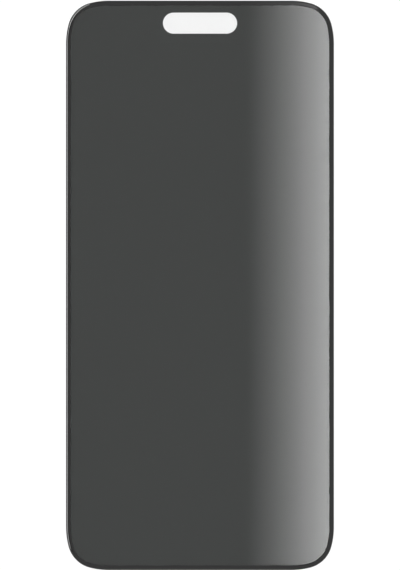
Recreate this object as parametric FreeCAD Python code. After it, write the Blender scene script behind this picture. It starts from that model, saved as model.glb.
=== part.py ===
import FreeCAD, Part
import math
import os

# Phone privacy screen protector: an unbroken clear cover glass with a rounded edge, a black border
# printed on its back and a dark louvre film bonded behind both, with a pill-shaped window in the
# film. It lies with the film side down.
# Millimetres. The origin is the middle of the underside, +X points to the right, +Y to the short
# side with the window and +Z out of the touched face.

# Outline of the sheet: each corner is a tight core arc between two wide lead arcs
sheet_width = 74.4
sheet_length = 158.2
corner_core_radius = 8.2
corner_lead_radius = 20.8
corner_lead_angle = 15.0

# Layers
glass_thickness = 0.40
film_thickness = 0.15
border_thickness = 0.03

# Rounded edge of the glass, in two tangent arcs above an upright ground wall
border_width = 1.30
rolloff_drop = 0.05
nose_width = 0.40
edge_wall = 0.12
lower_arris = 0.02

# Window in the film, through which the front camera and sensors look out
window_length = 20.6
window_width = 5.85
window_margin = 3.30

# How far the layers behind the glass stay inside its edge
border_setback = 0.03
film_setback = 0.20

# Levels above the underside of the film
border_level = film_thickness - border_thickness
glass_level = film_thickness
face_level = film_thickness + glass_thickness

half_width = sheet_width / 2
half_length = sheet_length / 2
window_centre = FreeCAD.Vector(0, half_length - window_margin - window_width / 2, 0)
up = FreeCAD.Vector(0, 0, 1)


def direction(angle):
    """Unit vector in the plane of the sheet, at an angle in degrees from +X."""
    turn = math.radians(angle)
    return FreeCAD.Vector(math.cos(turn), math.sin(turn), 0)


def arc(centre, radius, first, last):
    """Edge of a level arc between two angles in degrees."""
    circle = Part.Circle(centre, up, radius)
    return Part.ArcOfCircle(circle, math.radians(first), math.radians(last)).toShape()


def closed_wire(edges):
    """Wire of edges in order, with a straight side wherever one ends apart from the next."""
    linked = []
    for edge, following in zip(edges, edges[1:] + edges[:1]):
        linked.append(edge)
        end = edge.Vertexes[-1].Point
        start = following.Vertexes[0].Point
        if end.distanceToPoint(start) > Part.Precision.confusion():
            linked.append(Part.LineSegment(end, start).toShape())
    return Part.Wire(linked)


def outline(inset, level):
    """Rounded outline of the sheet, moved inwards by inset."""
    lead = math.radians(corner_lead_angle)
    lead_shift = corner_lead_radius - corner_core_radius
    core_depth = corner_lead_radius - lead_shift * math.cos(lead)
    arcs = []
    for quarter, (side, end) in enumerate(((1, 1), (-1, 1), (-1, -1), (1, -1))):
        core = FreeCAD.Vector(side * (half_width - core_depth), end * (half_length - core_depth), level)
        first = 90 * quarter
        turns = (first, first + corner_lead_angle, first + 90 - corner_lead_angle, first + 90)
        first_lead = core - direction(turns[1]) * lead_shift
        last_lead = core - direction(turns[2]) * lead_shift
        arcs.append(arc(first_lead, corner_lead_radius - inset, turns[0], turns[1]))
        arcs.append(arc(core, corner_core_radius - inset, turns[1], turns[2]))
        arcs.append(arc(last_lead, corner_lead_radius - inset, turns[2], turns[3]))
    return closed_wire(arcs)


def slab(inset, level, thickness):
    """Flat plate with the rounded outline."""
    return Part.Face(outline(inset, level)).extrude(up * thickness)


def window():
    """Pill-shaped block that fills the window in the film."""
    radius = window_width / 2
    reach = FreeCAD.Vector(window_length / 2 - radius, 0, 0)
    ends = [arc(window_centre + reach, radius, -90, 90), arc(window_centre - reach, radius, 90, 270)]
    return Part.Face(closed_wire(ends)).extrude(up * film_thickness)


def tangent_arc(start, start_slope, end):
    """Arc down from start to end that leaves at start_slope, and the slope at which it arrives."""
    chord = end - start
    chord_slope = math.atan2(-chord.z, chord.x)
    bulge = chord.Length / 2 * math.tan((chord_slope - start_slope) / 2)
    outward = FreeCAD.Vector(math.sin(chord_slope), 0, math.cos(chord_slope))
    middle = (start + end) / 2 + outward * bulge
    return Part.Arc(start, middle, end).toShape(), 2 * chord_slope - start_slope


def edge_section():
    """Section of the glass edge, square across the right-hand side at the start of the outline."""
    start = outline(0, 0).Vertexes[0].Point

    def at(inset, level):
        return FreeCAD.Vector(start.x - inset, start.y, level)

    face_edge = at(border_width, face_level)
    nose_start = at(nose_width, face_level - rolloff_drop)
    wall_top = at(0, glass_level + edge_wall)
    rolloff, rolloff_slope = tangent_arc(face_edge, 0, nose_start)
    nose, _ = tangent_arc(nose_start, rolloff_slope, wall_top)
    corners = [wall_top, at(0, glass_level + lower_arris), at(lower_arris, glass_level)]
    corners += [at(border_width, glass_level), face_edge]
    sides = [Part.LineSegment(a, b).toShape() for a, b in zip(corners, corners[1:])]
    return Part.Wire([rolloff, nose] + sides)


def cover_glass():
    """Clear sheet: a flat middle inside a rounded edge that is swept round the outline."""
    edge = outline(0, 0).makePipeShell([edge_section()], True, False)
    return slab(border_width, glass_level, glass_thickness).fuse(edge).removeSplitter()


def black_border():
    """Opaque frame printed on the back of the glass."""
    frame = slab(border_setback, border_level, border_thickness)
    return frame.cut(slab(border_width, border_level, border_thickness))


def privacy_film():
    """Dark louvre film, stepped at its edge so that it meets the glass inside the border."""
    base = slab(film_setback, 0, border_level)
    step = slab(border_width, border_level, border_thickness)
    return base.fuse(step).removeSplitter().cut(window())


os.makedirs("parts", exist_ok=True)
cover_glass().exportStep("parts/cover_glass.step")
black_border().exportStep("parts/black_border.step")
privacy_film().exportStep("parts/privacy_film.step")
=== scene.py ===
import collections
import math

import bmesh
import bpy
from bpy.props import FloatProperty, FloatVectorProperty, PointerProperty
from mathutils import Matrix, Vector


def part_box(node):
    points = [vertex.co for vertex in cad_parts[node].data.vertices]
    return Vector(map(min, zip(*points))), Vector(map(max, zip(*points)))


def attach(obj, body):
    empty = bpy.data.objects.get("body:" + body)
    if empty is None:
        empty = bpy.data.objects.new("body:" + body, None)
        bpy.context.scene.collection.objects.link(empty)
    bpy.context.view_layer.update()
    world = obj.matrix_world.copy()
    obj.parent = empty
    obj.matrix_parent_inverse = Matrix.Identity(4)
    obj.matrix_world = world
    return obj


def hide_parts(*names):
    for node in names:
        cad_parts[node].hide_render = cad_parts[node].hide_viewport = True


bl_info = {
    "name": "Phone Privacy Screen Protector",
    "version": (1, 0, 0),
    "blender": (4, 5, 0),
    "location": "View3D > Sidebar > Protector",
    "description": "Models a laminated glass privacy screen protector with its finishes and a plain studio",
    "category": "Add Mesh",
}

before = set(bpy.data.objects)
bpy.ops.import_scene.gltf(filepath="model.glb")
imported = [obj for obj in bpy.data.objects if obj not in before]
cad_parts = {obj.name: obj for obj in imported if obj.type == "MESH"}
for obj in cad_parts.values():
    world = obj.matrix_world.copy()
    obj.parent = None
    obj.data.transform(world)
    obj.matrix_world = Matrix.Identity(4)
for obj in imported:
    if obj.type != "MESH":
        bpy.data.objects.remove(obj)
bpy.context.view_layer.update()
glass_low, glass_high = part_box("cover_glass")
border_low, border_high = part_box("black_border")
film_low, film_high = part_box("privacy_film")

MM = 0.001
UP = Vector((0, 0, 1))
ALONG = Vector((0, 1, 0))
QUARTER_TURN = math.pi / 2
BODY = "root"

# Vertices closer than this are one
MERGE_GAP = 0.001 * MM
# Flat faces are filled at this many times their size, because the fill rounds off small steps
FILL_SCALE = 1 / MM
# Faces that meet at more than this angle keep a crisp edge
CRISP_ANGLE = math.radians(25)
# Turn of one step of a swept corner
CORNER_STEP = math.radians(1.5)
# Steps of the two arcs of the glass edge
ROLLOFF_STEPS = 6
NOSE_STEPS = 12
# Flat strip beside the rounded edge, which keeps the bend out of the flat face's shading
FLAT_STRIP = 0.02 * MM
# Depth by which the layers behind the glass are sunk into it, so that no air shows between them
BOND_DEPTH = 0.01 * MM
# Index of the finish that a piece has besides its main one
SECOND_FINISH = 1

# Scales of the noises in the finishes along each axis, per metre: the film's grain is fine across the
# sheet and long along it
GRAIN_SCALE = (2500, 60, 1)
POLISH_SCALE = (150, 150, 150)
COAT_SCALE = (75, 75, 75)
INK_SCALE = (900, 900, 900)
# Values between which most of a noise lies
NOISE_RANGE = (0.3, 0.7)
# Least and greatest roughness of the finishes
GLASS_ROUGHNESS = (0.01, 0.03)
FILM_ROUGHNESS = (0.34, 0.42)
STICKY_ROUGHNESS = (0.14, 0.30)
INK_ROUGHNESS = (0.38, 0.50)
GLASS_IOR = 1.52

# The floor's reach to each side and its gap under the sheet
FLOOR_REACH = 2
FLOOR_GAP = 0.02 * MM
# The floor's paint, and the fainter paint and the glow that take its place where it is looked at
FLOOR_PAINT = (0.9, 0.9, 0.9, 1)
FLOOR_FAINT = (0.15, 0.15, 0.15, 1)
FLOOR_GLOW = 0.90
# A card at the camera's height is this many times as large as its image in the flat face
IMAGE_SCALE = 2
# How far the sheen card goes on past the place that is mirrored at the border
SHEEN_SPARE = 1.5 * MM
# Corners of the dimmer card beyond the sheen card, and where it reaches its full brightness
TAIL_CORNERS = ((0.025, 0.157), (0.067, 0.157), (0.1385, 0.271), (0.1385, 0.330), (0.025, 0.330))
TAIL_FULL = 0.105
# Corners of the strip light, which is broad along the left side and narrow across the upper left corner,
# the stretch over which it gets brighter, and its height
STRIP_CORNERS = (
    (-0.262, -0.185),
    (-0.180, -0.185),
    (-0.180, 0.125),
    (-0.192, 0.148),
    (-0.150, 0.187),
    (-0.117, 0.239),
    (-0.097, 0.290),
    (-0.150, 0.440),
    (-0.127, 0.256),
    (-0.151, 0.216),
    (-0.182, 0.179),
    (-0.300, 0.166),
    (-0.262, 0.125),
)
STRIP_RISE = (0.140, 0.180)
STRIP_HEIGHT = 0.5
# The grey card just above it runs along the left side from its foot and then turns round a centre. It lies
# between two angles from the upright at the left edge.
GREY_GAP = 0.001
GREY_FOOT = -0.185
GREY_CENTRE = Vector((-0.102, 0.145, 0))
GREY_TURN = math.radians(96)
GREY_STEPS = 20
GREY_ANGLES = (math.radians(9.3), math.radians(62))
GREY_LEVEL = 0.5

# A level arc of a route: where it starts and how far it turns, as angles from +X
Arc = collections.namedtuple("Arc", "centre radius start turn")


# Settings


def distance_setting(name, description, default):
    """Property that holds a size in metres."""
    return FloatProperty(
        name=name,
        description=description,
        default=default,
        min=0,
        precision=5,
        subtype="DISTANCE",
        unit="LENGTH",
    )


def number_setting(name, description, default):
    """Property that holds a plain number."""
    return FloatProperty(name=name, description=description, default=default, min=0)


def colour_setting(name, description, default):
    """Property that holds a colour."""
    return FloatVectorProperty(
        name=name, description=description, default=default, min=0, max=1, size=3, subtype="COLOR"
    )


class SheetSizes(bpy.types.PropertyGroup):
    """Sizes of the glass, its border and its film."""

    width: distance_setting("Width", "Width of the glass", glass_high.x - glass_low.x)
    length: distance_setting("Length", "Length of the glass", glass_high.y - glass_low.y)
    corner_core_radius: distance_setting("Corner core", "Radius of the tight middle of a corner", 8.2 * MM)
    corner_lead_radius: distance_setting("Corner lead", "Radius of the wide arcs beside it", 20.8 * MM)
    corner_lead_angle: FloatProperty(
        name="Corner lead angle",
        description="Turn of each wide arc",
        default=math.radians(15),
        subtype="ANGLE",
        unit="ROTATION",
    )
    border_width: distance_setting(
        "Border width", "Width of the border, over which the glass falls away", 1.30 * MM
    )
    rolloff_drop: distance_setting("Roll-off drop", "Fall of the gentle outer part of the face", 0.05 * MM)
    nose_width: distance_setting("Nose width", "Width of the tight round at the edge", 0.40 * MM)
    edge_wall: distance_setting("Edge wall", "Height of the upright edge", 0.12 * MM)
    lower_arris: distance_setting("Lower arris", "Width of the ground lower edge", 0.02 * MM)
    border_setback: distance_setting(
        "Border setback", "How far the border stays inside the edge", glass_high.x - border_high.x
    )
    film_setback: distance_setting(
        "Film setback", "How far the film stays inside the edge", glass_high.x - film_high.x
    )
    window_length: distance_setting("Window length", "Length of the window in the film", 20.6 * MM)
    window_width: distance_setting("Window width", "Width of the window in the film", 5.85 * MM)
    window_margin: distance_setting("Window margin", "Distance of the window from the short side", 3.30 * MM)


class SheetFinishes(bpy.types.PropertyGroup):
    """Colours of the glass, its border and its film."""

    glass_tint: colour_setting("Glass tint", "Colour of light that passes the glass", (0.928, 0.930, 0.929))
    film_colour: colour_setting("Film colour", "Colour of the film", (0.0536, 0.0602, 0.0569))
    film_grain: colour_setting("Film grain", "Colour of the upright grain in it", (0.0515, 0.0579, 0.0547))
    sticky_colour: colour_setting("Sticky colour", "Colour of the film's back", (0.030, 0.032, 0.031))
    sticky_grain: colour_setting("Sticky grain", "Colour of the upright grain in it", (0.025, 0.027, 0.026))
    edge_colour: colour_setting("Edge colour", "Colour of the rounded edge", (0.001, 0.001, 0.001))
    edge_fleck: colour_setting("Edge fleck", "Colour of the flecks in it", (0.0015, 0.0015, 0.0016))
    ink_colour: colour_setting("Ink colour", "Colour of the printed border", (0.005, 0.005, 0.0055))
    ink_fleck: colour_setting("Ink fleck", "Colour of the flecks in it", (0.008, 0.008, 0.0085))


class StudioSettings(bpy.types.PropertyGroup):
    """Camera, floor and light."""

    camera_height: distance_setting("Camera height", "Height of the camera above the glass", 600 * MM)
    view_length: distance_setting("View length", "Length of the frame at the glass", 158.30 * MM)
    view_shift: distance_setting("View shift", "How far the frame is moved along the sheet", 0.11 * MM)
    surround: number_setting("Surround", "Brightness of the white walls and ceiling", 0.9)
    sheen_start: distance_setting("Sheen start", "Distance from the sheet's middle to the sheen", 12.95 * MM)
    sheen_peak: number_setting("Sheen peak", "Brightness that the sheen card adds at its bright end", 7.7)
    sheen_bend: number_setting("Sheen bend", "Share of the sheen that comes late rather than evenly", 0.635)
    sheen_tail: number_setting("Sheen tail", "Brightness that the card beyond it adds", 1.85)
    side_light: number_setting("Side light", "Brightness of the strip that lights the left edge", 12.5)
    corner_light: number_setting("Corner light", "Brightness of that strip at the upper left corner", 27.0)


class ProtectorSettings(bpy.types.PropertyGroup):
    """All that a user can change."""

    sizes: PointerProperty(type=SheetSizes)
    finishes: PointerProperty(type=SheetFinishes)
    studio: PointerProperty(type=StudioSettings)


# Routes


def direction(angle):
    """Level unit vector at an angle from +X."""
    return Vector((math.cos(angle), math.sin(angle), 0))


def point_on(arc, share):
    """Point at a share of an arc."""
    return arc.centre + arc.radius * direction(arc.start + share * arc.turn)


def outline_route(sizes):
    """Arcs of the sheet's outline, anticlockwise from the upper end of its right-hand side."""
    lead_turn = sizes.corner_lead_angle
    core_turn = QUARTER_TURN - 2 * lead_turn
    lead_shift = sizes.corner_lead_radius - sizes.corner_core_radius
    core_depth = sizes.corner_lead_radius - lead_shift * math.cos(lead_turn)
    reach_x = sizes.width / 2 - core_depth
    reach_y = sizes.length / 2 - core_depth
    route = []
    for quarter, (side, end) in enumerate(((1, 1), (-1, 1), (-1, -1), (1, -1))):
        core = Vector((side * reach_x, end * reach_y, 0))
        first = quarter * QUARTER_TURN
        core_start = first + lead_turn
        core_end = core_start + core_turn
        first_lead = core - lead_shift * direction(core_start)
        last_lead = core - lead_shift * direction(core_end)
        route.append(Arc(first_lead, sizes.corner_lead_radius, first, lead_turn))
        route.append(Arc(core, sizes.corner_core_radius, core_start, core_turn))
        route.append(Arc(last_lead, sizes.corner_lead_radius, core_end, lead_turn))
    return route


def window_route(sizes):
    """The two round ends of the pill-shaped window."""
    radius = sizes.window_width / 2
    centre = Vector((0, sizes.length / 2 - sizes.window_margin - radius, 0))
    reach = Vector((sizes.window_length / 2 - radius, 0, 0))
    return [
        Arc(centre + reach, radius, -QUARTER_TURN, math.pi),
        Arc(centre - reach, radius, QUARTER_TURN, math.pi),
    ]


# Meshes


def draw_line(mesh, points, closed=False):
    """Draw a chain of straight edges and return its vertices and edges."""
    corners = [mesh.verts.new(point) for point in points]
    following = corners[1:] + corners[:1] if closed else corners[1:]
    return corners + [mesh.edges.new(pair) for pair in zip(corners, following)]


def draw_arc(mesh, start, slope, end, steps):
    """Draw an arc from a vertex down to a point, leaving at a slope, and return its end and last slope."""
    chord = end - start.co
    turn = 2 * (math.atan2(-chord.z, chord.x) - slope)
    radius = chord.length / 2 / math.sin(turn / 2)
    centre = start.co - radius * Vector((math.sin(slope), 0, math.cos(slope)))
    drawn = bmesh.ops.spin(mesh, geom=[start], cent=centre, axis=ALONG, angle=turn, steps=steps)
    return drawn["geom_last"][0], slope + turn


def extrude_along(mesh, section, run):
    """Extrude a section straight along a run and return its far end."""
    far_end = bmesh.ops.extrude_face_region(mesh, geom=section)["geom"]
    corners = [item for item in far_end if isinstance(item, bmesh.types.BMVert)]
    bmesh.ops.translate(mesh, verts=corners, vec=run)
    return far_end


def sweep(mesh, section, route):
    """Sweep a section round a closed route of arcs and the straight runs between them."""
    for arc, following in zip(route, route[1:] + route[:1]):
        steps = math.ceil(arc.turn / CORNER_STEP)
        turned = bmesh.ops.spin(mesh, geom=section, cent=arc.centre, axis=UP, angle=arc.turn, steps=steps)
        section = turned["geom_last"]
        run = point_on(following, 0) - point_on(arc, 1)
        if run.length > MERGE_GAP:
            section = extrude_along(mesh, section, run)
    bmesh.ops.remove_doubles(mesh, verts=mesh.verts, dist=MERGE_GAP)


def lies_at(item, level):
    """Whether an edge or a face lies at a level."""
    return all(abs(corner.co.z - level) < MERGE_GAP for corner in item.verts)


def fill_level(mesh, level):
    """Close the open loops at one level with flat faces."""
    loops = [edge for edge in mesh.edges if edge.is_boundary and lies_at(edge, level)]
    bmesh.ops.scale(mesh, verts=mesh.verts, vec=Vector((1, 1, 1)) * FILL_SCALE)
    bmesh.ops.triangle_fill(mesh, use_beauty=True, edges=loops)
    bmesh.ops.scale(mesh, verts=mesh.verts, vec=Vector((1, 1, 1)) / FILL_SCALE)


def section_points(sizes, places):
    """Points across the start of the outline, from pairs of inset and level."""
    outer = point_on(outline_route(sizes)[0], 0)
    return [Vector((outer.x - inset, outer.y, level)) for inset, level in places]


def make_object(mesh, name):
    """Make a mesh an object of the scene."""
    data = bpy.data.meshes.new(name)
    mesh.to_mesh(data)
    mesh.free()
    item = bpy.data.objects.new(name, data)
    bpy.context.scene.collection.objects.link(item)
    return item


def make_piece(mesh, name, node, finishes):
    """Make a mesh a finished piece that stands for a CAD node."""
    bmesh.ops.recalc_face_normals(mesh, faces=mesh.faces)
    piece = make_object(mesh, name)
    piece.data.shade_smooth()
    piece.data.set_sharp_from_angle(angle=CRISP_ANGLE)
    for finish in finishes:
        piece.data.materials.append(finish)
    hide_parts(node)
    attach(piece, BODY)


# Finishes


def bare_material(name):
    """New material without a shader, as material, node tree and the socket that takes the shader."""
    material = bpy.data.materials.new(name)
    material.use_nodes = True
    tree = material.node_tree
    tree.nodes.clear()
    output = tree.nodes.new("ShaderNodeOutputMaterial")
    return material, tree, output.inputs["Surface"]


def new_finish(name):
    """New material with a Principled shader, as material, node tree and shader."""
    finish, tree, surface = bare_material(name)
    shader = tree.nodes.new("ShaderNodeBsdfPrincipled")
    tree.links.new(shader.outputs["BSDF"], surface)
    return finish, tree, shader


def rescale(tree, value, old_range, new_range, clamp=True):
    """Socket of a value that is carried over evenly from one range to another."""
    scaled = tree.nodes.new("ShaderNodeMapRange")
    scaled.clamp = clamp
    scaled.inputs["From Min"].default_value, scaled.inputs["From Max"].default_value = old_range
    scaled.inputs["To Min"].default_value, scaled.inputs["To Max"].default_value = new_range
    tree.links.new(value, scaled.inputs["Value"])
    return scaled.outputs["Result"]


def uneven(tree, scale, levels):
    """Socket of a soft noise between two levels, from its scale along each axis of Object coordinates."""
    place = tree.nodes.new("ShaderNodeTexCoord")
    stretch = tree.nodes.new("ShaderNodeMapping")
    stretch.inputs["Scale"].default_value = scale
    noise = tree.nodes.new("ShaderNodeTexNoise")
    noise.inputs["Scale"].default_value = 1
    tree.links.new(place.outputs["Object"], stretch.inputs["Vector"])
    tree.links.new(stretch.outputs["Vector"], noise.inputs["Vector"])
    return rescale(tree, noise.outputs["Fac"], NOISE_RANGE, levels)


def uneven_polish(tree, shader, scale, roughness):
    """Vary the roughness of a shader between two values."""
    tree.links.new(uneven(tree, scale, roughness), shader.inputs["Roughness"])


def uneven_colour(tree, shader, scale, first, second):
    """Vary the colour of a shader between two colours."""
    paint = tree.nodes.new("ShaderNodeMix")
    paint.data_type = "RGBA"
    paint.inputs["A"].default_value = (*first, 1)
    paint.inputs["B"].default_value = (*second, 1)
    tree.links.new(uneven(tree, scale, (0, 1)), paint.inputs["Factor"])
    tree.links.new(paint.outputs["Result"], shader.inputs["Base Color"])


def clear_glass(colours):
    """Polished clear glass, with a trace of unevenness in its polish."""
    finish, tree, shader = new_finish("clear_glass")
    shader.inputs["Base Color"].default_value = (*colours.glass_tint, 1)
    shader.inputs["Transmission Weight"].default_value = 1
    shader.inputs["IOR"].default_value = GLASS_IOR
    uneven_polish(tree, shader, POLISH_SCALE, GLASS_ROUGHNESS)
    return finish


def backed_edge(colours):
    """Polished rounded edge of the glass, dark from the print behind it."""
    finish, tree, shader = new_finish("backed_edge")
    shader.inputs["IOR"].default_value = GLASS_IOR
    uneven_colour(tree, shader, INK_SCALE, colours.edge_colour, colours.edge_fleck)
    uneven_polish(tree, shader, POLISH_SCALE, GLASS_ROUGHNESS)
    return finish


def louvre_film(colours):
    """Dark film, whose fine upright slats show as no more than a faint grain."""
    finish, tree, shader = new_finish("louvre_film")
    shader.inputs["Specular IOR Level"].default_value = 0
    uneven_colour(tree, shader, GRAIN_SCALE, colours.film_colour, colours.film_grain)
    uneven_polish(tree, shader, COAT_SCALE, FILM_ROUGHNESS)
    return finish


def sticky_back(colours):
    """Smooth tacky coat on the back of the film."""
    finish, tree, shader = new_finish("sticky_back")
    uneven_colour(tree, shader, GRAIN_SCALE, colours.sticky_colour, colours.sticky_grain)
    uneven_polish(tree, shader, COAT_SCALE, STICKY_ROUGHNESS)
    return finish


def black_print(colours):
    """Opaque satin ink."""
    finish, tree, shader = new_finish("black_print")
    shader.inputs["Specular IOR Level"].default_value = 0
    uneven_colour(tree, shader, INK_SCALE, colours.ink_colour, colours.ink_fleck)
    uneven_polish(tree, shader, INK_SCALE, INK_ROUGHNESS)
    return finish


# Pieces


class PROTECTOR_OT_cover_glass(bpy.types.Operator):
    """Model the clear glass with its rounded edge"""

    bl_idname = "protector.cover_glass"
    bl_label = "Cover Glass"

    def execute(self, context):
        settings = context.scene.protector
        sizes = settings.sizes
        face = glass_high.z
        back = glass_low.z
        inner, face_edge, nose_start, wall_top, wall_foot, back_edge = section_points(
            sizes,
            (
                (sizes.border_width + FLAT_STRIP, face),
                (sizes.border_width, face),
                (sizes.nose_width, face - sizes.rolloff_drop),
                (0, back + sizes.edge_wall),
                (0, back + sizes.lower_arris),
                (sizes.lower_arris, back),
            ),
        )
        mesh = bmesh.new()
        strip = draw_line(mesh, (inner, face_edge))
        rolloff_end, slope = draw_arc(mesh, strip[1], 0, nose_start, ROLLOFF_STEPS)
        nose_end, _ = draw_arc(mesh, rolloff_end, slope, wall_top, NOSE_STEPS)
        wall = draw_line(mesh, (wall_foot, back_edge))
        mesh.edges.new((nose_end, wall[0]))
        sweep(mesh, mesh.verts[:] + mesh.edges[:], outline_route(sizes))
        for side in mesh.faces:
            side.material_index = SECOND_FINISH
        fill_level(mesh, face)
        fill_level(mesh, back)
        finishes = [clear_glass(settings.finishes), backed_edge(settings.finishes)]
        make_piece(mesh, "glass_sheet", "cover_glass", finishes)
        return {"FINISHED"}


class PROTECTOR_OT_black_border(bpy.types.Operator):
    """Model the black border printed on the back of the glass"""

    bl_idname = "protector.black_border"
    bl_label = "Black Border"

    def execute(self, context):
        settings = context.scene.protector
        sizes = settings.sizes
        front = border_high.z + BOND_DEPTH
        back = border_low.z
        corners = section_points(
            sizes,
            (
                (sizes.border_width, front),
                (sizes.border_setback, front),
                (sizes.border_setback, back),
                (sizes.border_width, back),
            ),
        )
        mesh = bmesh.new()
        sweep(mesh, draw_line(mesh, corners, closed=True), outline_route(sizes))
        make_piece(mesh, "printed_border", "black_border", [black_print(settings.finishes)])
        return {"FINISHED"}


class PROTECTOR_OT_privacy_film(bpy.types.Operator):
    """Model the dark film with its step under the border and its pill-shaped window"""

    bl_idname = "protector.privacy_film"
    bl_label = "Privacy Film"

    def execute(self, context):
        settings = context.scene.protector
        sizes = settings.sizes
        front = film_high.z + BOND_DEPTH
        ledge = border_low.z
        back = film_low.z
        edge = section_points(
            sizes,
            (
                (sizes.border_width, front),
                (sizes.border_width, ledge),
                (sizes.film_setback, ledge),
                (sizes.film_setback, back),
            ),
        )
        window = window_route(sizes)
        rim = [point_on(window[0], 0) + level * UP for level in (front, back)]
        mesh = bmesh.new()
        sweep(mesh, draw_line(mesh, edge), outline_route(sizes))
        sweep(mesh, draw_line(mesh, rim), window)
        fill_level(mesh, front)
        fill_level(mesh, back)
        for face in mesh.faces:
            if lies_at(face, back):
                face.material_index = SECOND_FINISH
        finishes = [louvre_film(settings.finishes), sticky_back(settings.finishes)]
        make_piece(mesh, "dark_film", "privacy_film", finishes)
        return {"FINISHED"}


# Stage


def stage_object(mesh, name):
    """Make a mesh of the stage an object of the scene."""
    item = make_object(mesh, name)
    return item


def rectangle(left, right, foot, head):
    """Corners of a level rectangle."""
    return (left, foot), (right, foot), (right, head), (left, head)


def flat_card(name, corners, height):
    """Level card with the given corners."""
    mesh = bmesh.new()
    rim = draw_line(mesh, [Vector((*corner, height)) for corner in corners], closed=True)
    bmesh.ops.contextual_create(mesh, geom=rim)
    return stage_object(mesh, name)


def light_card(card, name, studio):
    """Make a card glow in reflections alone, and return its node tree and the socket of its brightness.

    Seen through the glass it is as bright as the surround.
    """
    finish, tree, surface = bare_material(name)
    shader = tree.nodes.new("ShaderNodeEmission")
    path = tree.nodes.new("ShaderNodeLightPath")
    level = tree.nodes.new("ShaderNodeMix")
    level.inputs["B"].default_value = studio.surround
    tree.links.new(path.outputs["Is Transmission Ray"], level.inputs["Factor"])
    tree.links.new(level.outputs["Result"], shader.inputs["Strength"])
    tree.links.new(shader.outputs["Emission"], surface)
    card.data.materials.append(finish)
    card.visible_camera = False
    card.visible_diffuse = False
    card.visible_shadow = False
    return tree, level.inputs["A"]


def ramp(tree, axis, places, levels, clamp=True):
    """Socket of a number that goes evenly from one level to another between two places on an axis."""
    place = tree.nodes.new("ShaderNodeTexCoord")
    along = tree.nodes.new("ShaderNodeSeparateXYZ")
    tree.links.new(place.outputs["Object"], along.inputs["Vector"])
    return rescale(tree, along.outputs[axis], places, levels, clamp)


def looked_at(tree):
    """Socket that is 1 for rays from the camera, from gloss and through glass, and otherwise 0."""
    path = tree.nodes.new("ShaderNodeLightPath")
    seen = path.outputs["Is Camera Ray"]
    for kind in ("Is Glossy Ray", "Is Transmission Ray"):
        either = tree.nodes.new("ShaderNodeMath")
        either.operation = "MAXIMUM"
        tree.links.new(seen, either.inputs[0])
        tree.links.new(path.outputs[kind], either.inputs[1])
        seen = either.outputs["Value"]
    return seen


def camera_level(studio):
    """Height of the camera, and of the cards that the flat face mirrors."""
    return glass_high.z + studio.camera_height


def add_floor():
    """White floor under the sheet that keeps its shadow."""
    corners = rectangle(-FLOOR_REACH, FLOOR_REACH, -FLOOR_REACH, FLOOR_REACH)
    floor = flat_card("floor", corners, -FLOOR_GAP)
    finish, tree, surface = bare_material("white_floor")
    paint = tree.nodes.new("ShaderNodeBsdfDiffuse")
    paint.inputs["Color"].default_value = FLOOR_PAINT
    faint = tree.nodes.new("ShaderNodeBsdfDiffuse")
    faint.inputs["Color"].default_value = FLOOR_FAINT
    light = tree.nodes.new("ShaderNodeEmission")
    light.inputs["Strength"].default_value = FLOOR_GLOW
    both = tree.nodes.new("ShaderNodeAddShader")
    mix = tree.nodes.new("ShaderNodeMixShader")
    tree.links.new(faint.outputs["BSDF"], both.inputs[0])
    tree.links.new(light.outputs["Emission"], both.inputs[1])
    tree.links.new(looked_at(tree), mix.inputs["Fac"])
    tree.links.new(paint.outputs["BSDF"], mix.inputs[1])
    tree.links.new(both.outputs["Shader"], mix.inputs[2])
    tree.links.new(mix.outputs["Shader"], surface)
    floor.data.materials.append(finish)


def add_surround(studio):
    """White walls and ceiling: the world, which is pure white to the camera."""
    world = bpy.data.worlds.new("white_surround")
    bpy.context.scene.world = world
    world.use_nodes = True
    tree = world.node_tree
    light = tree.nodes["Background"]
    light.inputs["Color"].default_value = (1, 1, 1, 1)
    path = tree.nodes.new("ShaderNodeLightPath")
    strength = rescale(tree, path.outputs["Is Camera Ray"], (0, 1), (studio.surround, 1))
    tree.links.new(strength, light.inputs["Strength"])


def add_sheen_card(sizes, studio):
    """Card that brightens to the right and shows in the glass as a sheen.

    What it adds to the surround grows partly evenly and partly with the square of the way across.
    """
    start = IMAGE_SCALE * studio.sheen_start
    end = IMAGE_SCALE * (sizes.width / 2 - sizes.border_width)
    reach = IMAGE_SCALE * (sizes.length / 2 - sizes.border_width)
    card = flat_card("sheen_card", rectangle(start, end + SHEEN_SPARE, -reach, reach), camera_level(studio))
    tree, brightness = light_card(card, "sheen_glow", studio)
    slopes = (studio.sheen_peak * (1 - studio.sheen_bend), studio.sheen_peak)
    level = tree.nodes.new("ShaderNodeMath")
    level.operation = "MULTIPLY_ADD"
    tree.links.new(ramp(tree, "X", (start, end), (0, 1), clamp=False), level.inputs[0])
    tree.links.new(ramp(tree, "X", (start, end), slopes, clamp=False), level.inputs[1])
    level.inputs[2].default_value = studio.surround
    tree.links.new(level.outputs["Value"], brightness)


def add_sheen_tail(studio):
    """Dimmer card beyond the sheen card that brightens the upper border."""
    card = flat_card("sheen_tail", TAIL_CORNERS, camera_level(studio))
    tree, brightness = light_card(card, "tail_glow", studio)
    places = (IMAGE_SCALE * studio.sheen_start, TAIL_FULL)
    levels = (studio.surround, studio.surround + studio.sheen_tail)
    tree.links.new(ramp(tree, "X", places, levels), brightness)


def add_strip_light(studio):
    """Strip that draws a light line along the left edge and round the upper left corner."""
    strip = flat_card("strip_light", STRIP_CORNERS, STRIP_HEIGHT)
    tree, brightness = light_card(strip, "edge_glow", studio)
    levels = (studio.side_light, studio.corner_light)
    tree.links.new(ramp(tree, "Y", STRIP_RISE, levels), brightness)


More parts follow.
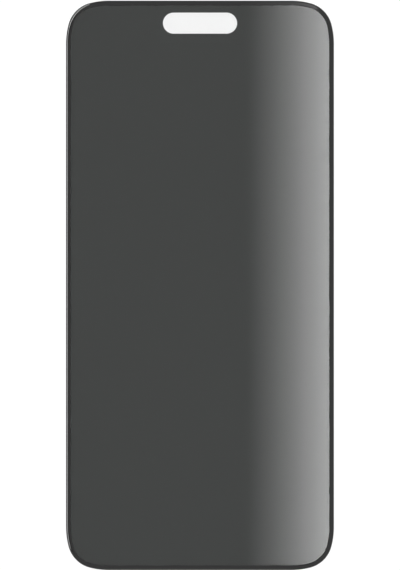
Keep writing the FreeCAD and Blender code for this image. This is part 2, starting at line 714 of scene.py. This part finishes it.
def add_grey_card(sizes, studio):
    """Grey card along the left side and round its upper end, which keeps dark lines beside the light one."""
    height = STRIP_HEIGHT + GREY_GAP
    sides = [-sizes.width / 2 - height * math.tan(angle) for angle in GREY_ANGLES]
    mesh = bmesh.new()
    foot = draw_line(mesh, [Vector((side, GREY_FOOT, height)) for side in sides])
    head = extrude_along(mesh, foot, (GREY_CENTRE.y - GREY_FOOT) * ALONG)
    bmesh.ops.spin(mesh, geom=head, cent=GREY_CENTRE, axis=UP, angle=-GREY_TURN, steps=GREY_STEPS)
    _, brightness = light_card(stage_object(mesh, "grey_card"), "edge_shade", studio)
    brightness.default_value = GREY_LEVEL


def add_camera(studio):
    """Camera that looks straight down on the touched face, with its sensor's width along the sheet."""
    data = bpy.data.cameras.new("camera")
    data.lens = data.sensor_width * studio.camera_height / studio.view_length
    camera = bpy.data.objects.new("camera", data)
    camera.location = (0, studio.view_shift, camera_level(studio))
    bpy.context.scene.collection.objects.link(camera)
    bpy.context.scene.camera = camera


class PROTECTOR_OT_studio(bpy.types.Operator):
    """Set up the floor, the light and the camera"""

    bl_idname = "protector.studio"
    bl_label = "Studio"

    def execute(self, context):
        settings = context.scene.protector
        context.scene.view_settings.view_transform = "Standard"
        add_floor()
        add_surround(settings.studio)
        add_sheen_card(settings.sizes, settings.studio)
        add_sheen_tail(settings.studio)
        add_strip_light(settings.studio)
        add_grey_card(settings.sizes, settings.studio)
        add_camera(settings.studio)
        return {"FINISHED"}


# Sidebar

STEPS = (
    PROTECTOR_OT_cover_glass,
    PROTECTOR_OT_black_border,
    PROTECTOR_OT_privacy_film,
    PROTECTOR_OT_studio,
)


class PROTECTOR_PT_sidebar(bpy.types.Panel):
    """Settings of the protector and the steps that build it"""

    bl_idname = "PROTECTOR_PT_sidebar"
    bl_label = "Screen Protector"
    bl_space_type = "VIEW_3D"
    bl_region_type = "UI"
    bl_category = "Protector"

    def draw(self, context):
        settings = context.scene.protector
        for group in (settings.sizes, settings.finishes, settings.studio):
            box = self.layout.box()
            for name in group.__annotations__:
                box.prop(group, name)
        for step in STEPS:
            self.layout.operator(step.bl_idname)


CLASSES = (SheetSizes, SheetFinishes, StudioSettings, ProtectorSettings, *STEPS, PROTECTOR_PT_sidebar)


def register():
    """Make the classes and the scene's settings known."""
    for item in CLASSES:
        bpy.utils.register_class(item)
    bpy.types.Scene.protector = PointerProperty(type=ProtectorSettings)


def unregister():
    """Undo what register does."""
    del bpy.types.Scene.protector
    for item in reversed(CLASSES):
        bpy.utils.unregister_class(item)


def main():
    """Build every piece and the studio."""
    register()
    bpy.ops.protector.cover_glass()
    bpy.ops.protector.black_border()
    bpy.ops.protector.privacy_film()
    bpy.ops.protector.studio()


if __name__ == "__main__":
    main()
